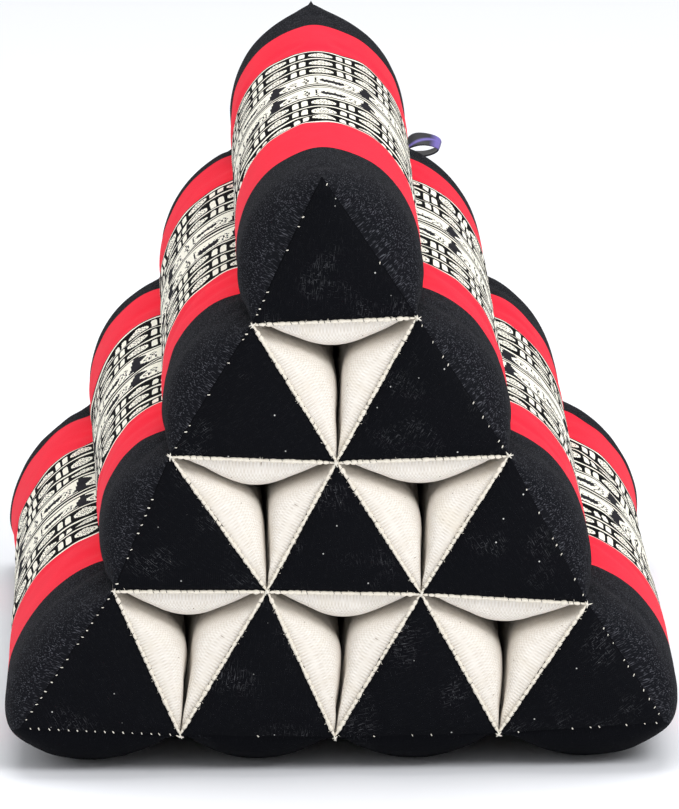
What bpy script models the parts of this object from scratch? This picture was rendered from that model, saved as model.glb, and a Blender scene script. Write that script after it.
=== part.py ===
"""Triangle cushion of ten stuffed cotton channels.

Three-sided channels lie side by side in rows of one, two, three and four, so
their ends make one large triangle with six open three-cornered holes in it.
Every channel is stuffed until its walls swell: outwards on the slopes, flat on
the floor, and against its neighbours inside the holes. A crowned cloth panel
closes each end of each channel. A ribbon loop is sewn in the groove under the
top channel.

Metres, +Z up. X runs across the cushion, Y from the front end to the rear.
"""
import math
from collections import namedtuple

import bmesh
import bpy
from mathutils import Matrix, Vector

# Driving dimensions
SEAM_LENGTH = 0.488        # between the front and the rear end seams
PITCH = 0.084              # side of one channel, corner seam to corner seam
ROW_HEIGHT = 0.0725
ROWS = 4
BASE_LINE = 0.0225         # lowest corner seams above the floor
SHOULDER = 0.030           # from an end seam to the full section
CAP_THICKNESS = 0.0015
CAP_CROWN = 0.0060
CAP_POWER = 0.7
GAP = 0.0003
HALF_GAP = 0.0002
CORNER_INSET = 0.0004
LEAN = math.radians(5.0)   # of the walls pressed together under each hole
EAR_POWER = 12             # how late along the cushion its rear ears start
PRESSED_POWER = 0.6        # how square a wall's swell is towards its corners,
UPPER_POWER = 0.95         # 1 for an even arch; the slopes sag, so they are
LOWER_POWER = 0.65         # leaner above and fuller below
SIDE_STEPS = 8             # facets along one wall of one channel

# How far each corner seam strays from an even lattice, in millimetres
Corner = namedtuple("Corner", "row place front_x front_z rear_x rear_z")
CORNERS = (
    Corner(0, 0, -7.4, 2.5, -3.2, 1.0),
    Corner(1, 0, -1.7, -1.8, 0.0, 0.0),
    Corner(1, 1, -1.2, 0.9, 0.0, 0.0),
    Corner(2, 0, -2.3, 2.0, 0.0, -1.0),
    Corner(2, 1, -0.9, -2.1, 0.0, 0.0),
    Corner(2, 2, 3.6, 0.3, 2.0, 0.0),
    Corner(3, 0, 9.9, 3.9, 2.0, -1.0),
    Corner(3, 1, 4.8, 2.8, 0.0, 0.0),
    Corner(3, 2, 0.0, 0.5, 0.0, 0.0),
    Corner(3, 3, 2.0, -5.5, 1.0, 0.0),
    Corner(4, 0, 2.9, 4.3, 0.5, 0.0),
    Corner(4, 1, 1.4, -0.4, 0.0, 0.0),
    Corner(4, 2, -2.9, -2.5, 0.0, 0.0),
    Corner(4, 3, -2.3, -1.4, 0.0, 0.0),
    Corner(4, 4, -0.4, 3.3, 0.0, 0.0),
)

# How far each wall swells when stuffed, in millimetres
Fill = namedtuple("Fill", "row place base right left")
FILLS = (
    Fill(0, 0, 17.0, 22.0, 22.0),
    Fill(1, 0, 20.0, 23.0, 17.5),
    Fill(1, 1, 17.5, 18.0, 23.0),
    Fill(2, 0, 20.0, 22.5, 17.5),
    Fill(2, 1, 17.0, 22.5, 22.5),
    Fill(2, 2, 16.5, 18.0, 22.5),
    Fill(3, 0, 29.0, 21.5, 17.0),
    Fill(3, 1, 29.0, 21.5, 21.5),
    Fill(3, 2, 29.0, 21.5, 21.5),
    Fill(3, 3, 29.0, 17.0, 21.5),
)

# Free corners, which the stuffing pushes outwards: the way it pushes, then how
# far in millimetres at the front end, one and two thirds along, and at the rear
Push = namedtuple("Push", "row place x z front third two_thirds rear")
PUSHES = (
    Push(0, 0, 0.0, 1.0, 3.0, 1.5, 1.0, 0.5),
    Push(4, 0, -0.85, -0.60, 10.5, 4.5, 0.5, 0.5),
    Push(4, 4, 0.85, -0.60, 8.5, 8.5, 2.5, 1.0),
)

# Pointed rear corners, in millimetres
Ear = namedtuple("Ear", "row place x z")
EARS = (
    Ear(0, 0, 0.0, 3.5),
    Ear(4, 0, -4.7, 0.9),
    Ear(4, 4, 8.0, 8.0),
)

# Sections behind an end seam, as shares of the shoulder
SHOULDER_SHARES = (0.0, 0.04, 0.15, 0.33, 0.6, 1.0)

# Ribbon loop: its near edge seen from the front, in millimetres from its root
Fold = namedtuple("Fold", "x z")
RIBBON_FOLDS = (
    Fold(0.3, 3.2),
    Fold(2.0, 4.2),
    Fold(4.6, 4.8),
    Fold(7.8, 4.4),
    Fold(10.6, 3.4),
    Fold(12.2, 2.0),
    Fold(11.2, 0.6),
    Fold(8.8, -0.2),
    Fold(6.2, -0.1),
    Fold(3.8, 0.9),
)
RIBBON_ROOT = Vector((0.0535, 0.2240, 0.2342))
RIBBON_WIDTH = 0.012
RIBBON_THICKNESS = 0.0010
RIBBON_TILT = math.radians(20.0)

# Colour, roughness of each cloth
CLOTHS = {
    "channel_cover": ((0.780, 0.050, 0.080, 1.0), 0.75),
    "end_cap": ((0.012, 0.012, 0.016, 1.0), 0.90),
    "ribbon": ((0.060, 0.045, 0.140, 1.0), 0.45),
}


def clear_scene():
    for item in list(bpy.data.objects):
        bpy.data.objects.remove(item, do_unlink=True)


def make_cloths():
    cloths = {}
    for name, (colour, roughness) in CLOTHS.items():
        cloth = bpy.data.materials.new(name)
        cloth.use_nodes = True
        shader = cloth.node_tree.nodes["Principled BSDF"]
        shader.inputs["Base Color"].default_value = colour
        shader.inputs["Roughness"].default_value = roughness
        cloths[name] = cloth
    return cloths


def corner_at(row, place, share):
    """Corner seam of the lattice, share 0 at the front seam and 1 at the rear."""
    even = Vector(((place - row / 2) * PITCH, (ROWS - row) * ROW_HEIGHT + BASE_LINE))
    stray = next(c for c in CORNERS if (c.row, c.place) == (row, place))
    front = Vector((stray.front_x, stray.front_z))
    rear = Vector((stray.rear_x, stray.rear_z))
    drift = front.lerp(rear, share)
    for ear in EARS:
        if (ear.row, ear.place) == (row, place):
            drift += Vector((ear.x, ear.z)) * share ** EAR_POWER
    return even + drift * 0.001


def pushed_corner(row, place, share, fullness):
    """The same corner with the stuffing behind it."""
    point = corner_at(row, place, share)
    for push in PUSHES:
        if (push.row, push.place) == (row, place):
            levels = (push.front, push.third, push.two_thirds, push.rear)
            step = min(int(share * 3), 2)
            level = levels[step] + (levels[step + 1] - levels[step]) * (share * 3 - step)
            point += Vector((push.x, push.z)) * 0.001 * level * fullness
    return point


def inside_lattice(row, place):
    return 0 <= row <= ROWS and 0 <= place <= row


def wall_partners(row, place):
    """The three walls of one channel, going round it from the left corner.

    Each wall names its two corners, then the far corner of the wall that it
    presses against at each of them, or None at a free corner.
    """
    left, right, apex = (row + 1, place), (row + 1, place + 1), (row, place)
    if row < ROWS - 1:
        base = (left, right, (row + 2, place + 1), (row + 2, place + 1))
    else:
        base = (left, right, (row + 1, place - 1), (row + 1, place + 2))
    if place < row:
        right_wall = (right, apex, (row, place + 1), (row, place + 1))
    else:
        right_wall = (right, apex, (row + 2, place + 2), (row - 1, place - 1))
    if place > 0:
        left_wall = (apex, left, (row, place - 1), (row, place - 1))
    else:
        left_wall = (apex, left, (row - 1, 0), (row + 2, 0))
    walls = []
    for start, end, start_partner, end_partner in (base, right_wall, left_wall):
        if not inside_lattice(*start_partner):
            start_partner = None
        if not inside_lattice(*end_partner):
            end_partner = None
        walls.append((start, end, start_partner, end_partner))
    return walls


def wall_swell(row, place, side):
    fill = next(f for f in FILLS if (f.row, f.place) == (row, place))
    return (fill.base, fill.right, fill.left)[side] * 0.001


def press_limit(joint, own_end, partner_end, lean, point, normal):
    """How far a point may swell before it meets the neighbour's wall."""
    own = (own_end - joint).normalized()
    partner = (partner_end - joint).normalized()
    side = (own - partner).normalized()
    side.rotate(Matrix.Rotation(-lean, 2))
    clear = (point - joint).dot(side) - HALF_GAP
    towards = -normal.dot(side)
    if towards <= 1e-6:
        return math.inf
    return max(clear / towards, 0.0)


def section(row, place, share, fullness):
    """Closed outline of one channel across its length, as (x, z) points."""
    names = ((row + 1, place), (row + 1, place + 1), (row, place))
    corners = [pushed_corner(*name, share, fullness) for name in names]
    middle = (corners[0] + corners[1] + corners[2]) / 3
    corners = [c + (middle - c).normalized() * CORNER_INSET for c in corners]
    outline = []
    for side, wall in enumerate(wall_partners(row, place)):
        start_name, end_name, start_partner, end_partner = wall
        start, end = corners[side], corners[(side + 1) % 3]
        along = end - start
        normal = Vector((along.y, -along.x)).normalized()
        swell = wall_swell(row, place, side) * fullness
        start_power = end_power = PRESSED_POWER
        if side == 1 and place == row:
            start_power, end_power = LOWER_POWER, UPPER_POWER
        elif side == 2 and place == 0:
            start_power, end_power = UPPER_POWER, LOWER_POWER
        for step in range(SIDE_STEPS):
            u = (1 - math.cos(math.pi * step / SIDE_STEPS)) / 2
            point = start + along * u
            power = start_power + (end_power - start_power) * u
            rise = swell * (4 * u * (1 - u)) ** power
            for joint, other, partner in ((start_name, end_name, start_partner),
                                          (end_name, start_name, end_partner)):
                if partner is None:
                    continue
                between = partner[0] == row and joint[0] == row + 1
                rise = min(rise, press_limit(
                    corner_at(*joint, share), corner_at(*other, share),
                    corner_at(*partner, share), LEAN if between else 0.0, point, normal))
            if side == 0 and row == ROWS - 1:
                rise = min(rise, point.y / -normal.y)
            outline.append(point + normal * rise)
    return outline


def stations():
    """Distances from the front seam, each with the section's fullness."""
    start = CAP_THICKNESS + GAP
    marks = []
    for part in SHOULDER_SHARES:
        marks.append((start + part * SHOULDER, math.sqrt(1 - (1 - part) ** 2)))
    rear = [(SEAM_LENGTH - distance, full) for distance, full in reversed(marks)]
    middle = [(SEAM_LENGTH * part, 1.0) for part in (0.25, 0.5, 0.75)]
    return marks + middle + rear


def panel_points(corners):
    """Points of a three-cornered panel, keyed by steps from its first corners."""
    weight = [math.sin(math.pi * k / SIDE_STEPS / 2) ** 2 for k in range(SIDE_STEPS + 1)]
    points = {}
    for i in range(SIDE_STEPS + 1):
        for j in range(SIDE_STEPS + 1 - i):
            k = SIDE_STEPS - i - j
            total = weight[i] + weight[j] + weight[k]
            a, b, c = weight[i] / total, weight[j] / total, weight[k] / total
            flat = corners[0] * a + corners[1] * b + corners[2] * c
            points[i, j] = (flat, CAP_CROWN * (27 * a * b * c) ** CAP_POWER)
    return points


def panel_faces(mesh, verts, outwards):
    """Triangles of a panel; outwards -1 faces the front and +1 the rear."""
    for i in range(SIDE_STEPS):
        for j in range(SIDE_STEPS - i):
            cells = [(verts[i, j], verts[i + 1, j], verts[i, j + 1])]
            if i + j < SIDE_STEPS - 1:
                cells.append((verts[i + 1, j], verts[i + 1, j + 1], verts[i, j + 1]))
            for cell in cells:
                mesh.faces.new(cell if outwards < 0 else cell[::-1])


def rim_keys():
    """Keys of a panel's rim, in the order of a section's outline."""
    n = SIDE_STEPS
    base = [(n - k, k) for k in range(n)]
    right = [(0, n - k) for k in range(n)]
    left = [(k, 0) for k in range(n)]
    return base + right + left


def end_corners(row, place, share):
    outline = section(row, place, share, 0.0)
    return [outline[0], outline[SIDE_STEPS], outline[2 * SIDE_STEPS]]


def new_piece(name, mesh, cloth, collection):
    bmesh.ops.recalc_face_normals(mesh, faces=mesh.faces)
    data = bpy.data.meshes.new(name)
    mesh.to_mesh(data)
    mesh.free()
    data.materials.append(cloth)
    data.shade_smooth()
    piece = bpy.data.objects.new(name, data)
    collection.objects.link(piece)
    return piece


def build_channel(row, place, cloth, collection):
    mesh = bmesh.new()
    marks = stations()
    rings = []
    for distance, fullness in marks:
        y = distance - SEAM_LENGTH / 2
        outline = section(row, place, distance / SEAM_LENGTH, fullness)
        rings.append([mesh.verts.new((p.x, y, p.y)) for p in outline])
    for near, far in zip(rings, rings[1:]):
        for k in range(len(near)):
            n = (k + 1) % len(near)
            mesh.faces.new((near[k], near[n], far[n], far[k]))
    for ring, outwards, mark in ((rings[0], -1, marks[0]), (rings[-1], 1, marks[-1])):
        y = mark[0] - SEAM_LENGTH / 2
        rim = dict(zip(rim_keys(), ring))
        points = panel_points(end_corners(row, place, mark[0] / SEAM_LENGTH))
        verts = {}
        for key, (flat, crown) in points.items():
            verts[key] = rim.get(key) or mesh.verts.new((flat.x, y + outwards * crown, flat.y))
        panel_faces(mesh, verts, outwards)
    return new_piece(f"channel_row{row + 1}_{place + 1}", mesh, cloth, collection)


def build_cap(row, place, outwards, cloth, collection):
    """Crowned cloth panel over one end of one channel."""
    share = 0.0 if outwards < 0 else 1.0
    points = panel_points(end_corners(row, place, share))
    mesh = bmesh.new()
    layers = []
    for depth in (0.0, CAP_THICKNESS):
        y = outwards * (SEAM_LENGTH / 2 - depth)
        layers.append({key: mesh.verts.new((flat.x, y + outwards * crown, flat.y))
                       for key, (flat, crown) in points.items()})
    panel_faces(mesh, layers[0], outwards)
    panel_faces(mesh, layers[1], -outwards)
    rim = rim_keys()
    for key, after in zip(rim, rim[1:] + rim[:1]):
        mesh.faces.new((layers[0][key], layers[0][after], layers[1][after], layers[1][key]))
    end = "front" if outwards < 0 else "rear"
    return new_piece(f"cap_{end}_row{row + 1}_{place + 1}", mesh, cloth, collection)


def build_ribbon(cloth, collection):
    """Loop of ribbon: its folded centre line, thickened and swept to its width."""
    line = [Vector((fold.x, fold.z)) * 0.001 for fold in RIBBON_FOLDS]
    outer, inner = [], []
    for k, point in enumerate(line):
        along = line[min(k + 1, len(line) - 1)] - line[max(k - 1, 0)]
        side = Vector((-along.y, along.x)).normalized() * RIBBON_THICKNESS / 2
        outer.append(point + side)
        inner.append(point - side)
    outline = outer + inner[::-1]
    mesh = bmesh.new()
    near = [mesh.verts.new((p.x, 0.0, p.y)) for p in outline]
    face = mesh.faces.new(near)
    swept = bmesh.ops.extrude_face_region(mesh, geom=[face])
    far = [item for item in swept["geom"] if isinstance(item, bmesh.types.BMVert)]
    width = Vector((0.0, math.cos(RIBBON_TILT), math.sin(RIBBON_TILT))) * RIBBON_WIDTH
    bmesh.ops.translate(mesh, verts=far, vec=width)
    bmesh.ops.translate(mesh, verts=mesh.verts, vec=RIBBON_ROOT)
    return new_piece("ribbon_loop", mesh, cloth, collection)


def stand_over_origin(pieces):
    """Slide the whole cushion so the origin is under the middle of its box."""
    points = [v.co for piece in pieces for v in piece.data.vertices]
    shift = Vector((
        -(min(p.x for p in points) + max(p.x for p in points)) / 2,
        -(min(p.y for p in points) + max(p.y for p in points)) / 2,
        -min(p.z for p in points),
    ))
    for piece in pieces:
        for vert in piece.data.vertices:
            vert.co += shift
    print("shifted by", [round(c * 1000, 3) for c in shift], "mm")


def main():
    clear_scene()
    cloths = make_cloths()
    collection = bpy.data.collections.new("triangle_cushion")
    bpy.context.scene.collection.children.link(collection)
    pieces = []
    for row in range(ROWS):
        for place in range(row + 1):
            pieces.append(build_channel(row, place, cloths["channel_cover"], collection))
            pieces.append(build_cap(row, place, -1, cloths["end_cap"], collection))
            pieces.append(build_cap(row, place, 1, cloths["end_cap"], collection))
    pieces.append(build_ribbon(cloths["ribbon"], collection))
    stand_over_origin(pieces)


main()
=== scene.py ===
# %% [markdown]
# # Thai triangle cushion
#
# Ten long cotton channels are stuffed hard with kapok and sewn together along
# their corners, so that their ends make one large triangle with six open holes.
# The slopes are covered in black, red and patterned cloth, the holes are lined
# with raw muslin, and a black three-cornered cap closes each end.
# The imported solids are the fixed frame, and every piece below is made to fit them.

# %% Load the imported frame
import math
import random
from collections import namedtuple

import bmesh
import bpy
from mathutils import Matrix, Vector, noise


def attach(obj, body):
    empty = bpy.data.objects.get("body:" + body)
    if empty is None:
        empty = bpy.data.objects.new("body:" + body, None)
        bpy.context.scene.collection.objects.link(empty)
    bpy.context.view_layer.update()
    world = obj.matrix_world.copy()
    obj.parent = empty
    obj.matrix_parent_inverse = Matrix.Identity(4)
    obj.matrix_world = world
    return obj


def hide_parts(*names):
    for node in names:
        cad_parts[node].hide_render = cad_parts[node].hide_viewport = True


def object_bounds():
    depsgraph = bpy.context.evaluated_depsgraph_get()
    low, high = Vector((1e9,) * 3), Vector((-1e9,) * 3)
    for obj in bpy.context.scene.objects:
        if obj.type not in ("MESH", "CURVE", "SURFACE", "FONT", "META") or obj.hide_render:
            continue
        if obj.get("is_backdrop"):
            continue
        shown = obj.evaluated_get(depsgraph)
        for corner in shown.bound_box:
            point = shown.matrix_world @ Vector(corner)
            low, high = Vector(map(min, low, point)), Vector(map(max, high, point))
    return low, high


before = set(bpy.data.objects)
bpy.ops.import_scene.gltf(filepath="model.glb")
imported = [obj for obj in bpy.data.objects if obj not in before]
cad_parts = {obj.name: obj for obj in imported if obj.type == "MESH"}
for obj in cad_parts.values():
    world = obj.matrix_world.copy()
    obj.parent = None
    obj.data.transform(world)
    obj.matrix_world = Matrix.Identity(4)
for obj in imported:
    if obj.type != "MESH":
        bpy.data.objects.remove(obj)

cad_box = [list(corner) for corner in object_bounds()]
print("solids reach from", cad_box[0], "to", cad_box[1])

# %% [markdown]
# ## Camera, floor and light
#
# A long lens from six metres away, a little above the cushion, gives the flat
# perspective of a catalogue picture. The floor is so large that it fills the
# picture behind the cushion too, and it is lit until it is almost white.

# %% Camera
VIEW_ELEVATION = math.radians(12.4)
VIEW_AZIMUTH = math.radians(-1.2)
VIEW_ROLL = math.radians(-0.4)
VIEW_DISTANCE = 6.0
VIEW_TARGET = Vector((-0.0003, -0.244, 0.1958))
PICTURE_HEIGHT_PX = 809
FOCAL_LENGTH_PX = 11710

away = Vector((math.sin(VIEW_AZIMUTH) * math.cos(VIEW_ELEVATION),
               -math.cos(VIEW_AZIMUTH) * math.cos(VIEW_ELEVATION),
               math.sin(VIEW_ELEVATION)))
aim = away.to_track_quat("Z", "Y").to_matrix() @ Matrix.Rotation(VIEW_ROLL, 3, "Z")
camera_data = bpy.data.cameras.new("camera")
camera_data.sensor_width = 36.0
camera_data.lens = FOCAL_LENGTH_PX * camera_data.sensor_width / PICTURE_HEIGHT_PX
camera_data.clip_end = 60.0
camera = bpy.data.objects.new("camera", camera_data)
camera.matrix_world = Matrix.Translation(VIEW_TARGET + away * VIEW_DISTANCE) @ aim.to_4x4()
bpy.context.scene.collection.objects.link(camera)
bpy.context.scene.camera = camera
print("lens", round(camera_data.lens), "mm")


# %% A colour helper and a node helper
def srgb(hex_code):
    """Linear colour of an sRGB hex value."""
    parts = [int(hex_code[k:k + 2], 16) / 255 for k in (1, 3, 5)]
    return tuple(c / 12.92 if c <= 0.04045 else ((c + 0.055) / 1.055) ** 2.4
                 for c in parts) + (1.0,)


def node(tree, kind, inputs=(), **settings):
    """Adds a node. inputs maps a socket's name or number to a value, a socket or a node."""
    made = tree.nodes.new(kind)
    for key, value in settings.items():
        setattr(made, key, value)
    for key, value in dict(inputs).items():
        if isinstance(value, bpy.types.Node):
            value = value.outputs[0]
        if isinstance(value, bpy.types.NodeSocket):
            tree.links.new(value, made.inputs[key])
        else:
            made.inputs[key].default_value = value
    return made


def new_material(name):
    """A Principled material with nothing linked, and its tree and shader."""
    material = bpy.data.materials.new(name)
    material.use_nodes = True
    tree = material.node_tree
    return material, tree, tree.nodes["Principled BSDF"]


def link_object(name, data):
    """A new object in the scene."""
    made = bpy.data.objects.new(name, data)
    bpy.context.scene.collection.objects.link(made)
    return made


# %% Floor and light
FLOOR_SIZE = 40.0

floor_mesh = bmesh.new()
bmesh.ops.create_grid(floor_mesh, x_segments=1, y_segments=1, size=FLOOR_SIZE / 2)
floor_data = bpy.data.meshes.new("studio_floor")
floor_mesh.to_mesh(floor_data)
floor_mesh.free()
floor = link_object("studio_floor", floor_data)
floor_paint, floor_tree, floor_shader = new_material("white studio floor")
floor_shader.inputs["Base Color"].default_value = srgb("#f8faff")
floor_shader.inputs["Roughness"].default_value = 0.9
floor_data.materials.append(floor_paint)
floor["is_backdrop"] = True

Lamp = namedtuple("Lamp", "name x y z size watts")
LAMPS = (
    Lamp("key", 1.5, -2.2, 2.4, 1.4, 56.0),
    Lamp("fill", -2.2, -2.0, 1.6, 2.0, 8.0),
    Lamp("top", 0.0, 0.5, 2.8, 2.2, 40.0),
)
LAMP_TARGET = Vector((0.0, 0.0, 0.15))
WORLD_STRENGTH = 0.65
for lamp in LAMPS:
    light = bpy.data.lights.new(lamp.name, "AREA")
    light.size = lamp.size
    light.energy = lamp.watts
    holder = link_object(lamp.name, light)
    place = Vector((lamp.x, lamp.y, lamp.z))
    turn = (place - LAMP_TARGET).to_track_quat("Z", "Y").to_matrix().to_4x4()
    holder.matrix_world = Matrix.Translation(place) @ turn

world = bpy.data.worlds.new("white studio")
world.use_nodes = True
world.node_tree.nodes["Background"].inputs["Color"].default_value = srgb("#ffffff")
world.node_tree.nodes["Background"].inputs["Strength"].default_value = WORLD_STRENGTH
bpy.context.scene.world = world
bpy.context.scene.view_settings.view_transform = "Standard"
print(len(LAMPS), "soft lamps")

# %% [markdown]
# ## The lattice of corner seams
#
# The channels meet along fifteen corner seams. A hand-sewn cushion is never
# even, so each seam strays a few millimetres from a regular lattice, by one
# amount at the front end and another at the rear. Three corners are free: the
# ridge and the two edges on the floor. The stuffing pushes those outwards, and
# at the rear end they stick out as small ears.

# %% Sizes and seams
SEAM_LENGTH = 0.488
HALF_LENGTH = SEAM_LENGTH / 2
PITCH = 0.084
ROW_HEIGHT = 0.0725
ROWS = 4
BASE_LINE = 0.0225
ORIGIN_X = -0.0011
SHOULDER = 0.030
HALF_GAP = 0.0002
CORNER_INSET = 0.0004
LEAN = math.radians(5.0)
EAR_POWER = 12

Corner = namedtuple("Corner", "row place front_x front_z rear_x rear_z")
CORNERS = (
    Corner(0, 0, -7.4, 2.5, -3.2, 1.0),
    Corner(1, 0, -1.7, -1.8, 0.0, 0.0),
    Corner(1, 1, -1.2, 0.9, 0.0, 0.0),
    Corner(2, 0, -2.3, 2.0, 0.0, -1.0),
    Corner(2, 1, -0.9, -2.1, 0.0, 0.0),
    Corner(2, 2, 3.6, 0.3, 2.0, 0.0),
    Corner(3, 0, 9.9, 3.9, 2.0, -1.0),
    Corner(3, 1, 4.8, 2.8, 0.0, 0.0),
    Corner(3, 2, 0.0, 0.5, 0.0, 0.0),
    Corner(3, 3, 2.0, -5.5, 1.0, 0.0),
    Corner(4, 0, 2.9, 4.3, 0.5, 0.0),
    Corner(4, 1, 1.4, -0.4, 0.0, 0.0),
    Corner(4, 2, -2.9, -2.5, 0.0, 0.0),
    Corner(4, 3, -2.3, -1.4, 0.0, 0.0),
    Corner(4, 4, -0.4, 3.3, 0.0, 0.0),
)
Push = namedtuple("Push", "row place x z front third two_thirds rear")
PUSHES = (
    Push(0, 0, 0.0, 1.0, 3.0, 1.5, 1.0, 0.5),
    Push(4, 0, -0.85, -0.60, 10.5, 4.5, 0.5, 0.5),
    Push(4, 4, 0.85, -0.60, 8.5, 8.5, 2.5, 1.0),
)
Ear = namedtuple("Ear", "row place x z")
EARS = (
    Ear(0, 0, 0.0, 3.5),
    Ear(4, 0, -4.7, 0.9),
    Ear(4, 4, 8.0, 8.0),
)


def corner_at(row, place, share):
    """Corner seam, share 0 at the front seam and 1 at the rear, as (x, z)."""
    even = Vector(((place - row / 2) * PITCH + ORIGIN_X, (ROWS - row) * ROW_HEIGHT + BASE_LINE))
    stray = next(c for c in CORNERS if (c.row, c.place) == (row, place))
    drift = Vector((stray.front_x, stray.front_z)).lerp(Vector((stray.rear_x, stray.rear_z)), share)
    for ear in EARS:
        if (ear.row, ear.place) == (row, place):
            drift += Vector((ear.x, ear.z)) * share ** EAR_POWER
    return even + drift * 0.001


def pushed_corner(row, place, share, fullness):
    """The same seam with the stuffing behind it."""
    point = corner_at(row, place, share)
    for push in PUSHES:
        if (push.row, push.place) == (row, place):
            levels = (push.front, push.third, push.two_thirds, push.rear)
            step = min(int(share * 3), 2)
            level = levels[step] + (levels[step + 1] - levels[step]) * (share * 3 - step)
            point += Vector((push.x, push.z)) * 0.001 * level * fullness
    return point


print("ridge seam", corner_at(0, 0, 0.0), "at the front")

# %% [markdown]
# ## Walls that press against each other
#
# A stuffed wall swells into an arch, but inside a hole it soon meets the walls
# of its neighbours. Each pair of walls shares a plane that runs from their
# corner seam into the hole, and neither may cross it. The same planes first
# shape the section and later stop the simulated cloth.

# %% Walls of one channel
Fill = namedtuple("Fill", "row place base right left")
FILLS = (
    Fill(0, 0, 16.0, 22.0, 22.0),
    Fill(1, 0, 17.0, 21.5, 18.5),
    Fill(1, 1, 16.5, 18.0, 21.5),
    Fill(2, 0, 16.5, 21.5, 18.5),
    Fill(2, 1, 16.5, 21.5, 21.5),
    Fill(2, 2, 16.0, 17.0, 21.5),
    Fill(3, 0, 22.5, 21.5, 17.0),
    Fill(3, 1, 22.5, 21.5, 21.5),
    Fill(3, 2, 22.5, 21.5, 21.5),
    Fill(3, 3, 22.5, 17.0, 21.5),
)
PRESSED_POWER = 0.6
LENS_POWER = 1.2
HOLE_TOP_POWER = 2.2
FLOOR_POWER = 0.75
UPPER_POWER = 0.85
LOWER_POWER = 0.65
Wall = namedtuple("Wall", "start end start_partner end_partner outer")


def inside_lattice(row, place):
    """True where the lattice has such a corner."""
    return 0 <= row <= ROWS and 0 <= place <= row


def walls_of(row, place):
    """Base, right and left wall of a channel, going round from its left corner."""
    left, right, apex = (row + 1, place), (row + 1, place + 1), (row, place)
    lowest = row == ROWS - 1
    below = (row + 2, place + 1)
    walls = [Wall(left, right, *(((row + 1, place - 1), (row + 1, place + 2)) if lowest
                                 else (below, below)), lowest)]
    if place < row:
        walls.append(Wall(right, apex, (row, place + 1), (row, place + 1), False))
    else:
        walls.append(Wall(right, apex, (row + 2, place + 2), (row - 1, place - 1), True))
    if place > 0:
        walls.append(Wall(apex, left, (row, place - 1), (row, place - 1), False))
    else:
        walls.append(Wall(apex, left, (row - 1, 0), (row + 2, 0), True))
    return walls


def press_planes(row, wall, share):
    """(point, direction) of each plane that keeps a wall from its neighbours."""
    planes = []
    for joint, other, partner in ((wall.start, wall.end, wall.start_partner),
                                  (wall.end, wall.start, wall.end_partner)):
        if not inside_lattice(*partner):
            continue
        seam = corner_at(*joint, share)
        own = (corner_at(*other, share) - seam).normalized()
        facing = (corner_at(*partner, share) - seam).normalized()
        side = (own - facing).normalized()
        if partner[0] == row and joint[0] == row + 1:
            side.rotate(Matrix.Rotation(-LEAN, 2))
        planes.append((seam, side))
    return planes


def swell_powers(side, wall):
    """How square the swell is at each end of a wall, 1 for an even arch."""
    if side == 0:
        return (FLOOR_POWER, FLOOR_POWER) if wall.outer else (LENS_POWER, LENS_POWER)
    if not wall.outer:
        powers = (PRESSED_POWER, HOLE_TOP_POWER)
        return powers if side == 1 else powers[::-1]
    return (LOWER_POWER, UPPER_POWER) if side == 1 else (UPPER_POWER, LOWER_POWER)


print("the top channel's walls:", [wall.start + wall.end for wall in walls_of(0, 0)])

# %% [markdown]
# ## Rolling up the cloth of a channel
#
# A channel is a rectangle of cloth, rolled into a three-sided tube. So each one
# starts as a flat grid, and every grid point moves to its place on a section.
# The grid's own UV map stays with it, which keeps weave and pattern running
# along the cloth. The sections stand closer together at both ends, where the
# walls curve down to the end seams like a quarter of an ellipse.

# %% Sections and rings
WALL_STEPS = 24
SHOULDER_STEPS = 8
RING_STRIDE = 0.0055
CAP_DEPTH = 0.0022
INNER_SQUARENESS = 3.2
FLOOR_SHOULDER = 0.055
SOFTNESS = 0.005
ROUNDED_STEPS = 7
ROUNDING_PASSES = 14
ROUNDED_UNTIL = 0.95
ROUNDING_FADE = 0.2
FREE_CORNERS = {(0, 0): 2, (3, 0): 0, (3, 3): 1}


def soft_least(first, second):
    """The smaller of two heights, with the crossing rounded off."""
    reach = min(SOFTNESS, 0.5 * min(first, second))
    if abs(first - second) >= reach:
        return min(first, second)
    part = 0.5 + 0.5 * (second - first) / reach
    return second + (first - second) * part - reach * part * (1 - part)


def round_corner(outline, corner, fullness):
    """Smooths the points beside a corner that no seam holds."""
    count = len(outline)
    middle = corner * WALL_STEPS
    for _ in range(ROUNDING_PASSES):
        near = {}
        for offset in range(-ROUNDED_STEPS, ROUNDED_STEPS + 1):
            k = (middle + offset) % count
            mean = (outline[k - 1] + outline[(k + 1) % count]) / 2
            fade = fullness * math.cos(math.pi / 2 * offset / (ROUNDED_STEPS + 1))
            near[k] = outline[k].lerp(mean, fade)
        for k, point in near.items():
            outline[k] = point


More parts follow.
